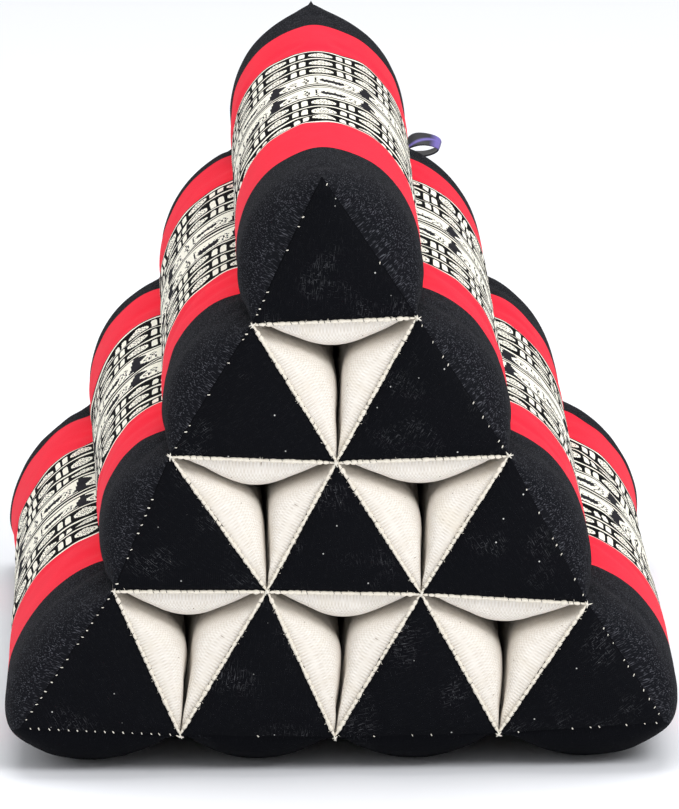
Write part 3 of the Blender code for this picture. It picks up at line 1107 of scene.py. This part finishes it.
def charted(tree, chart, across, up):
    """A node whose output is 1 on a woven square: across counts repeats, up runs 0 to 1."""
    squares = len(chart[0])
    third = math.ceil(squares / 3)
    row = node(tree, "ShaderNodeMath", {0: up, 1: float(len(chart))}, operation="MULTIPLY")
    row = node(tree, "ShaderNodeMath", {0: row}, operation="FLOOR")
    row = node(tree, "ShaderNodeMath", {0: row, 1: 0.5}, operation="ADD")
    row = node(tree, "ShaderNodeMath", {0: row, 1: float(len(chart))}, operation="DIVIDE")
    ramp = node(tree, "ShaderNodeValToRGB", {0: row})
    stops = ramp.color_ramp
    stops.interpolation = "CONSTANT"
    for number, line in enumerate(reversed(chart)):
        stop = stops.elements[number] if number < 2 else stops.elements.new(0.99)
        stop.position = number / len(chart)
        numbers = []
        for part in range(3):
            piece = line[part * third:(part + 1) * third]
            numbers.append(sum(2 ** bit for bit, square in enumerate(piece) if square == "#")
                           / 2 ** third)
        stop.color = (*numbers, 1.0)
    column = node(tree, "ShaderNodeMath", {0: across}, operation="FRACT")
    column = node(tree, "ShaderNodeMath", {0: column, 1: float(squares)}, operation="MULTIPLY")
    column = node(tree, "ShaderNodeMath", {0: column}, operation="FLOOR")
    part = node(tree, "ShaderNodeMath", {0: column, 1: float(third)}, operation="DIVIDE")
    part = node(tree, "ShaderNodeMath", {0: part}, operation="FLOOR")
    picks = [node(tree, "ShaderNodeMath", {0: part, 1: float(k), 2: 0.5}, operation="COMPARE")
             for k in range(3)]
    pick = node(tree, "ShaderNodeCombineXYZ", {0: picks[0], 1: picks[1], 2: picks[2]})
    chosen = node(tree, "ShaderNodeVectorMath", {0: ramp, 1: pick}, operation="DOT_PRODUCT")
    whole = node(tree, "ShaderNodeMath", {0: chosen.outputs["Value"], 1: float(2 ** third)},
                 operation="MULTIPLY")
    bit = node(tree, "ShaderNodeMath", {0: column, 1: float(third)}, operation="MODULO")
    power = node(tree, "ShaderNodeMath", {0: 2.0, 1: bit}, operation="POWER")
    shifted = node(tree, "ShaderNodeMath", {0: whole, 1: power}, operation="DIVIDE")
    shifted = node(tree, "ShaderNodeMath", {0: shifted}, operation="FLOOR")
    return node(tree, "ShaderNodeMath", {0: shifted, 1: 2.0}, operation="MODULO")


# %% [markdown]
# ## The weave itself
#
# All the cloths are plain weave: warp and weft cross at every thread. Two sine
# waves multiplied give the little cushions of such a weave. Real threads are
# about 0.4 mm apart, which is too fine to show in the picture, so each cloth
# says how coarse its own is drawn.

# %% Weave and slubs
def weave_height(tree, place, spacing):
    """Height of a plain weave, 0 to 1, with threads the given distance apart."""
    turns = node(tree, "ShaderNodeVectorMath", {0: place, 3: math.pi / spacing}, operation="SCALE")
    parts = node(tree, "ShaderNodeSeparateXYZ", {0: turns})
    waves = [node(tree, "ShaderNodeMath", {0: parts.outputs[k]}, operation="SINE") for k in (0, 1)]
    product = node(tree, "ShaderNodeMath", {0: waves[0], 1: waves[1]}, operation="MULTIPLY")
    return node(tree, "ShaderNodeMath", {0: product, 1: 0.5, 2: 0.5}, operation="MULTIPLY_ADD")


def slubs(tree, place, thread, length, seed, start, full):
    """Thick places in the threads: noise stretched along them, 0 to 1 above a threshold."""
    shifted = node(tree, "ShaderNodeVectorMath", {0: place, 1: (seed, seed * 1.7, seed * 0.3)},
                   operation="ADD")
    stretched = node(tree, "ShaderNodeVectorMath",
                     {0: shifted, 1: (1 / thread, 1 / length, 1.0)}, operation="MULTIPLY")
    grain = node(tree, "ShaderNodeTexNoise", {"Vector": stretched, "Scale": 1.0, "Detail": 1.0})
    return node(tree, "ShaderNodeMapRange", {0: grain, 1: start, 2: full, 3: 0.0, 4: 1.0})


# %% [markdown]
# ## Banded slope cloth
#
# Three cotton strips are sewn edge to edge: a dull black, a bright red poplin
# with a soft sheen, and the brocade with its cream extra weft on a black ground.
# Everything follows the cloth's own UV map, which counts in metres.

# %% Banded slope cloth
PATTERN_START = EVEN_BANDS[2]
PATTERN_LENGTH = EVEN_BANDS[3] - EVEN_BANDS[2]
BAR_REPEAT = 0.0256
BAR_START = 0.0194
ELEPHANT_REPEAT = 0.0512
ELEPHANT_START = 0.0309
CREAM = "#fffdf3"
INK = "#15161a"
# The pale grey flecks on the black bands are lint, made brighter so that they also stand for a painted
# sheen.
LINT_AND_PAINTED_SHEEN = "#595a61"
DULL_CREAM = "#efebdc"
RED_DARK = "#ec2139"
RED_LIGHT = "#f92e44"
BEHIND_BARS = "#09090b"
BEHIND_ELEPHANTS = "#242328"
SLOPE_SPACING = 0.0007
SWAY_ALONG = 0.0022
SWAY_ACROSS = 0.0012
LINE_ROWS_MM = ((0.3, 3.2), (23.4, 26.2), (47.0, 49.8), (73.0, 75.8), (108.0, 110.6),
                (113.4, 116.0), (147.4, 150.0), (172.0, 174.8), (197.0, 199.8), (221.6, 225.0))
LOZENGE_ROWS_MM = ((6.8, 19.8), (30.0, 43.2), (53.8, 69.0), (154.0, 168.0), (179.0, 192.8),
                   (204.0, 217.4))
ELEPHANT_ROWS_MM = ((78.8, 105.6), (118.4, 145.0))


def rows_up(tree, along, rows_mm):
    """Counts rows passed plus the share of the present one, from places in millimetres."""
    total = None
    for low, high in rows_mm:
        share = node(tree, "ShaderNodeMapRange",
                     {0: along, 1: low * 0.001, 2: high * 0.001, 3: 0.0, 4: 0.9999})
        total = share if total is None else node(tree, "ShaderNodeMath", {0: total, 1: share},
                                                 operation="ADD")
    return total


def in_rows(tree, along, rows_mm, length):
    """1 where along lies in one of the rows."""
    ramp = node(tree, "ShaderNodeValToRGB",
                {0: node(tree, "ShaderNodeMath", {0: along, 1: length}, operation="DIVIDE")})
    stops = ramp.color_ramp
    stops.interpolation = "CONSTANT"
    stops.elements[0].color = (0.0, 0.0, 0.0, 1.0)
    stops.elements[1].position = 1.0
    stops.elements[1].color = (0.0, 0.0, 0.0, 1.0)
    for low, high in rows_mm:
        for place, level in ((low, 1.0), (high, 0.0)):
            stop = stops.elements.new(min(place * 0.001 / length, 0.999))
            stop.color = (level, level, level, 1.0)
    return ramp


def banded_cotton():
    """Black, red and brocaded cotton strips sewn edge to edge."""
    material, tree, shader = new_material("banded cotton brocade")
    uv = node(tree, "ShaderNodeUVMap", uv_map="cloth")
    parts = node(tree, "ShaderNodeSeparateXYZ", {0: uv})
    sway = node(tree, "ShaderNodeTexNoise", {"Vector": uv, "Scale": 60.0, "Detail": 1.0})
    sway = node(tree, "ShaderNodeMath", {0: sway, 1: -0.5}, operation="ADD")
    along = node(tree, "ShaderNodeMath", {0: sway, 1: SWAY_ALONG, 2: parts.outputs[1]},
                 operation="MULTIPLY_ADD")
    inner = node(tree, "ShaderNodeMath", {0: along, 1: -PATTERN_START}, operation="ADD")
    across = node(tree, "ShaderNodeMath", {0: sway, 1: SWAY_ACROSS, 2: parts.outputs[0]},
                  operation="MULTIPLY_ADD")

    lines = in_rows(tree, inner, LINE_ROWS_MM, PATTERN_LENGTH)
    woven = [lines]
    for chart, rows, start, repeat in ((LOZENGE, LOZENGE_ROWS_MM, BAR_START, BAR_REPEAT),
                                       (ELEPHANT, ELEPHANT_ROWS_MM, ELEPHANT_START, ELEPHANT_REPEAT)):
        turns = node(tree, "ShaderNodeMath", {0: across, 1: -start}, operation="ADD")
        turns = node(tree, "ShaderNodeMath", {0: turns, 1: repeat}, operation="DIVIDE")
        up = node(tree, "ShaderNodeMath", {0: rows_up(tree, inner, rows)}, operation="FRACT")
        motif = charted(tree, chart, turns, up)
        present = in_rows(tree, inner, rows, PATTERN_LENGTH)
        woven.append(node(tree, "ShaderNodeMath", {0: motif, 1: present}, operation="MULTIPLY"))
    raised = node(tree, "ShaderNodeMath", {0: woven[0], 1: woven[1]}, operation="MAXIMUM")
    raised = node(tree, "ShaderNodeMath", {0: raised, 1: woven[2]}, operation="MAXIMUM")

    fine = slubs(tree, uv, 0.0006, 0.0030, 3.0, 0.35, 0.75)
    cream = node(tree, "ShaderNodeMix", {0: fine, 6: srgb(DULL_CREAM), 7: srgb(CREAM)},
                 data_type="RGBA")
    # Pale slubs on the black band: real lint, brightened to serve as painted sheen as well.
    lint_and_sheen = slubs(tree, uv, 0.0005, 0.0008, 9.0, 0.56, 0.80)
    ground = node(tree, "ShaderNodeMix", {0: lint_and_sheen, 6: srgb(INK), 7: srgb(LINT_AND_PAINTED_SHEEN)},
                  data_type="RGBA")
    behind = node(tree, "ShaderNodeMix", {0: present, 6: srgb(BEHIND_BARS), 7: srgb(BEHIND_ELEPHANTS)},
                  data_type="RGBA")
    brocade = node(tree, "ShaderNodeMix", {0: raised, 6: behind.outputs[2], 7: cream.outputs[2]},
                   data_type="RGBA")
    shade = node(tree, "ShaderNodeTexNoise", {"Vector": uv, "Scale": 45.0, "Detail": 3.0})
    red = node(tree, "ShaderNodeMix", {0: shade, 6: srgb(RED_DARK), 7: srgb(RED_LIGHT)},
               data_type="RGBA")

    low, high = EVEN_BANDS[1:3]
    far_low, far_high = EVEN_BANDS[3:5]
    band = node(tree, "ShaderNodeMapRange",
                {0: along, 1: EVEN_BANDS[0], 2: EVEN_BANDS[5], 3: 0.0, 4: 1.0})
    reach = EVEN_BANDS[5] - EVEN_BANDS[0]
    choose = node(tree, "ShaderNodeValToRGB", {0: band})
    choose.color_ramp.interpolation = "CONSTANT"
    marks = ((0.0, (0, 0)), ((low + HALF_LENGTH) / reach, (1, 0)), ((high + HALF_LENGTH) / reach, (0, 1)),
             ((far_low + HALF_LENGTH) / reach, (1, 0)), ((far_high + HALF_LENGTH) / reach, (0, 0)))
    for number, (place, (is_red, is_brocade)) in enumerate(marks):
        elements = choose.color_ramp.elements
        stop = elements[number] if number < 2 else elements.new(0.999)
        stop.position = place
        stop.color = (is_red, is_brocade, 0.0, 1.0)
    picked = node(tree, "ShaderNodeSeparateColor", {0: choose})
    colour = node(tree, "ShaderNodeMix", {0: picked.outputs[0], 6: ground.outputs[2], 7: red.outputs[2]},
                  data_type="RGBA")
    colour = node(tree, "ShaderNodeMix",
                  {0: picked.outputs[1], 6: colour.outputs[2], 7: brocade.outputs[2]},
                  data_type="RGBA")
    tree.links.new(colour.outputs[2], shader.inputs["Base Color"])
    rough = node(tree, "ShaderNodeMapRange", {0: picked.outputs[0], 1: 0.0, 2: 1.0, 3: 0.85, 4: 0.6})
    tree.links.new(rough.outputs[0], shader.inputs["Roughness"])
    shader.inputs["Specular IOR Level"].default_value = 0.04

    threads = weave_height(tree, uv, SLOPE_SPACING)
    relief = node(tree, "ShaderNodeMath", {0: raised, 1: picked.outputs[1]}, operation="MULTIPLY")
    relief = node(tree, "ShaderNodeMath", {0: relief, 1: 1.5, 2: threads}, operation="MULTIPLY_ADD")
    bump = node(tree, "ShaderNodeBump", {"Height": relief, "Strength": 0.35, "Distance": 0.0003})
    tree.links.new(bump.outputs[0], shader.inputs["Normal"])
    return material


# %% [markdown]
# ## Raw muslin
#
# The inner walls are unbleached muslin, a thin uneven plain weave. Its threads
# have slubs, flecks of seed husk stay in it, and it yellows in faint patches.

# %% Raw muslin
MUSLIN_SPACING = 0.0009
WOVEN_SHARE = 0.6
STAINS_PER_METRE = 22.0
HUSKS_PER_METRE = 330.0
STAIN = "#dccba4"
HUSK = "#7a6650"


def raw_muslin(name, light, dark):
    """Unbleached cotton, woven coarse and uneven."""
    material, tree, shader = new_material(name)
    uv = node(tree, "ShaderNodeUVMap", uv_map="cloth")
    lengthwise = slubs(tree, uv, 0.0006, 0.0070, 2.0, 0.30, 0.70)
    turned = node(tree, "ShaderNodeVectorMath", {0: uv, 1: (0.0, 0.0, 1.0)}, operation="CROSS_PRODUCT")
    crosswise = slubs(tree, turned, 0.0006, 0.0050, 5.0, 0.30, 0.70)
    grain = node(tree, "ShaderNodeMath", {0: lengthwise, 1: crosswise}, operation="ADD")
    grain = node(tree, "ShaderNodeMath", {0: grain, 1: 0.5}, operation="MULTIPLY")
    threads = weave_height(tree, uv, MUSLIN_SPACING)
    grain = node(tree, "ShaderNodeMix", {0: WOVEN_SHARE, 2: grain, 3: threads})
    cloth = node(tree, "ShaderNodeMix", {0: grain, 6: srgb(dark), 7: srgb(light)}, data_type="RGBA")
    patch = node(tree, "ShaderNodeTexNoise", {"Vector": uv, "Scale": STAINS_PER_METRE, "Detail": 3.0})
    patch = node(tree, "ShaderNodeMapRange", {0: patch, 1: 0.58, 2: 0.82, 3: 0.0, 4: 0.40})
    stained = node(tree, "ShaderNodeMix", {0: patch, 6: cloth.outputs[2], 7: srgb(STAIN)},
                   data_type="RGBA")
    specks = node(tree, "ShaderNodeTexVoronoi", {"Vector": uv, "Scale": HUSKS_PER_METRE})
    near = node(tree, "ShaderNodeMapRange", {0: specks, 1: 0.06, 2: 0.14, 3: 1.0, 4: 0.0})
    chosen = node(tree, "ShaderNodeSeparateColor", {0: specks.outputs["Color"]})
    rare = node(tree, "ShaderNodeMath", {0: chosen.outputs[0], 1: 0.86}, operation="GREATER_THAN")
    fleck = node(tree, "ShaderNodeMath", {0: near, 1: rare}, operation="MULTIPLY")
    colour = node(tree, "ShaderNodeMix", {0: fleck, 6: stained.outputs[2], 7: srgb(HUSK)},
                  data_type="RGBA")
    tree.links.new(colour.outputs[2], shader.inputs["Base Color"])
    shader.inputs["Roughness"].default_value = 0.88
    shader.inputs["Specular IOR Level"].default_value = 0.25
    shader.inputs["Sheen Weight"].default_value = 0.1
    relief = node(tree, "ShaderNodeMath", {0: grain, 1: 1.5, 2: threads}, operation="MULTIPLY_ADD")
    bump = node(tree, "ShaderNodeBump", {"Height": relief, "Strength": 0.45, "Distance": 0.0003})
    tree.links.new(bump.outputs[0], shader.inputs["Normal"])
    return material


# %% [markdown]
# ## Black cap cotton
#
# The caps are a loose black cotton. Pale fibres cling to it: grey slubs show as
# short dashes along the threads, but only in patches, and a few bits of white
# lint sit on it like dots.

# %% Black cotton
BLACK_SPACING = 0.0007
BLACK = "#0b0c10"
LINT = "#c9c9c6"
PATCHES_PER_METRE = 38.0
SPECKS_PER_METRE = 210.0


def black_cotton(name, dash_light, dot_share):
    """Black cotton with grey slubs in patches and specks of lint."""
    material, tree, shader = new_material(name)
    uv = node(tree, "ShaderNodeUVMap", uv_map="cloth")
    dashes = slubs(tree, uv, 0.00035, 0.0045, 4.0, 0.60, 0.74)
    turned = node(tree, "ShaderNodeVectorMath", {0: uv, 1: (0.0, 0.0, 1.0)}, operation="CROSS_PRODUCT")
    crossing = slubs(tree, turned, 0.00045, 0.0018, 8.0, 0.64, 0.76)
    marks = node(tree, "ShaderNodeMath", {0: dashes, 1: crossing}, operation="MAXIMUM")
    patch = node(tree, "ShaderNodeTexNoise", {"Vector": uv, "Scale": PATCHES_PER_METRE, "Detail": 1.0})
    patch = node(tree, "ShaderNodeMapRange", {0: patch, 1: 0.54, 2: 0.74, 3: 0.05, 4: 0.9})
    marks = node(tree, "ShaderNodeMath", {0: marks, 1: patch}, operation="MULTIPLY")
    cloth = node(tree, "ShaderNodeMix", {0: marks, 6: srgb(BLACK), 7: srgb(dash_light)},
                 data_type="RGBA")
    specks = node(tree, "ShaderNodeTexVoronoi", {"Vector": uv, "Scale": SPECKS_PER_METRE})
    near = node(tree, "ShaderNodeMapRange", {0: specks, 1: 0.05, 2: 0.11, 3: 1.0, 4: 0.0})
    chosen = node(tree, "ShaderNodeSeparateColor", {0: specks.outputs["Color"]})
    rare = node(tree, "ShaderNodeMath", {0: chosen.outputs[0], 1: dot_share},
                operation="LESS_THAN")
    dot = node(tree, "ShaderNodeMath", {0: near, 1: rare}, operation="MULTIPLY")
    colour = node(tree, "ShaderNodeMix", {0: dot, 6: cloth.outputs[2], 7: srgb(LINT)},
                  data_type="RGBA")
    tree.links.new(colour.outputs[2], shader.inputs["Base Color"])
    shader.inputs["Roughness"].default_value = 0.92
    shader.inputs["Specular IOR Level"].default_value = 0.06
    threads = weave_height(tree, uv, BLACK_SPACING)
    relief = node(tree, "ShaderNodeMath", {0: marks, 1: 1.0, 2: threads}, operation="MULTIPLY_ADD")
    bump = node(tree, "ShaderNodeBump", {"Height": relief, "Strength": 0.5, "Distance": 0.0003})
    tree.links.new(bump.outputs[0], shader.inputs["Normal"])
    return material


# %% [markdown]
# ## Thread and ribbon
#
# The thread is plain spun cotton, with fine turns across it. The ribbon is
# polyester satin: its floats all run lengthways, so it is smooth. The bright
# streak along its bends is a highlight painted into its colour.

# %% Thread and ribbon
THREAD_TURNS_PER_METRE = 2200.0
RIB_SPACING = 0.0008
SATIN_DARK = "#1f1e25"
# The lighter violet is a painted highlight on the satin.
PAINTED_SATIN_HIGHLIGHT = "#7a6cc0"


def spun_thread(name, light, dark):
    """Spun cotton thread, drawn with its turns about half a millimetre apart."""
    material, tree, shader = new_material(name)
    place = node(tree, "ShaderNodeTexCoord").outputs["Object"]
    turns = node(tree, "ShaderNodeTexNoise",
                 {"Vector": place, "Scale": THREAD_TURNS_PER_METRE, "Detail": 1.0})
    colour = node(tree, "ShaderNodeMix", {0: turns, 6: srgb(dark), 7: srgb(light)}, data_type="RGBA")
    tree.links.new(colour.outputs[2], shader.inputs["Base Color"])
    shader.inputs["Roughness"].default_value = 0.8
    bump = node(tree, "ShaderNodeBump", {"Height": turns, "Strength": 0.5, "Distance": 0.0002})
    tree.links.new(bump.outputs[0], shader.inputs["Normal"])
    return material


def satin_ribbon():
    """Polyester satin: smooth lengthways, dark violet, with a highlight streak painted along its bends.
    """
    material, tree, shader = new_material("polyester satin ribbon")
    uv = node(tree, "ShaderNodeUVMap", uv_map="cloth")
    parts = node(tree, "ShaderNodeSeparateXYZ", {0: uv})
    # Painted highlight: a slanted bright streak and a lighter patch before the fold go into the base
    # colour; past the fold there is none.
    slant = node(tree, "ShaderNodeMath", {0: parts.outputs[1], 1: -0.35, 2: parts.outputs[0]},
                 operation="MULTIPLY_ADD")
    highlight_streak = node(tree, "ShaderNodeMapRange", {0: slant, 1: -0.0006, 2: 0.0010, 3: 0.0, 4: 1.0})
    fade = node(tree, "ShaderNodeMapRange", {0: slant, 1: 0.0010, 2: 0.0030, 3: 1.0, 4: 0.0})
    highlight_streak = node(tree, "ShaderNodeMath", {0: highlight_streak, 1: fade}, operation="MULTIPLY")
    painted_bend_highlight = node(tree, "ShaderNodeMapRange", {0: parts.outputs[1], 1: 0.0125, 2: 0.0160, 3: 0.0, 4: 0.8})
    back = node(tree, "ShaderNodeMapRange", {0: parts.outputs[1], 1: 0.0175, 2: 0.0195, 3: 1.0, 4: 0.0})
    painted_bend_highlight = node(tree, "ShaderNodeMath", {0: painted_bend_highlight, 1: back}, operation="MULTIPLY")
    light = node(tree, "ShaderNodeMath", {0: highlight_streak, 1: painted_bend_highlight}, operation="MAXIMUM")
    light = node(tree, "ShaderNodeMath", {0: light, 1: back}, operation="MULTIPLY")
    colour = node(tree, "ShaderNodeMix", {0: light, 6: srgb(SATIN_DARK), 7: srgb(PAINTED_SATIN_HIGHLIGHT)},
                  data_type="RGBA")
    tree.links.new(colour.outputs[2], shader.inputs["Base Color"])
    shader.inputs["Roughness"].default_value = 0.38
    shader.inputs["Specular IOR Level"].default_value = 0.3
    ribs = node(tree, "ShaderNodeMath", {0: parts.outputs[1], 1: 2 * math.pi / RIB_SPACING},
                operation="MULTIPLY")
    ribs = node(tree, "ShaderNodeMath", {0: ribs}, operation="SINE")
    bump = node(tree, "ShaderNodeBump", {"Height": ribs, "Strength": 0.15, "Distance": 0.0002})
    tree.links.new(bump.outputs[0], shader.inputs["Normal"])
    return material


# %% Give every piece its cloth
slope_cloth = banded_cotton()
wall_muslin = raw_muslin("raw cotton muslin", "#f7f3ed", "#d9d0c3")
base_cotton = black_cotton("black cotton base cloth", "#3c3d42", 0.05)
cap_cotton = black_cotton("black cotton cap cloth", "#56575b", 0.16)
white_cotton = spun_thread("white cotton thread", "#f6f2e8", "#cfc8b8")
black_yarn = spun_thread("black cotton thread", "#1c1d21", "#0c0c0f")
frayed_cotton = spun_thread("frayed muslin edge", "#f4efe4", "#d8cebb")
for pad in pads.values():
    for cloth in (slope_cloth, wall_muslin, base_cotton):
        pad.data.materials.append(cloth)
for cap in caps.values():
    cap.data.materials.append(cap_cotton)
for piece, cloth in ((rolled_edges, frayed_cotton), (loose_fibres, frayed_cotton),
                     (seam_dots, white_cotton), (seam_bites, black_yarn)):
    piece.data.materials.append(cloth)
ribbon.data.materials.append(satin_ribbon())
print("materials given to", len(pads) + len(caps) + 5, "pieces")

# %% [markdown]
#
# Everything rides on the one body. A stuffed channel stands for its solid.
# Each cap stands for its own solid.

# %% Declarations
for key, pad in pads.items():
    name = f"row{key[0] + 1}_{key[1] + 1}"
    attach(pad, "root")
    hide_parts(f"channel_{name}")
for (key, end), cap in caps.items():
    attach(cap, "root")
    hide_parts(f"cap_{'front' if end < 0 else 'rear'}_row{key[0] + 1}_{key[1] + 1}")
for piece in (rolled_edges, loose_fibres, seam_bites, seam_dots):
    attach(piece, "root")
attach(ribbon, "root")
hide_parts("ribbon_loop")
print(len(pads), "channels and", len(caps), "caps declared")

# %% Sizes of the solids and of the finished cushion
finished_box = [list(corner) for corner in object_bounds()]
print("finished cushion reaches from", finished_box[0], "to", finished_box[1])
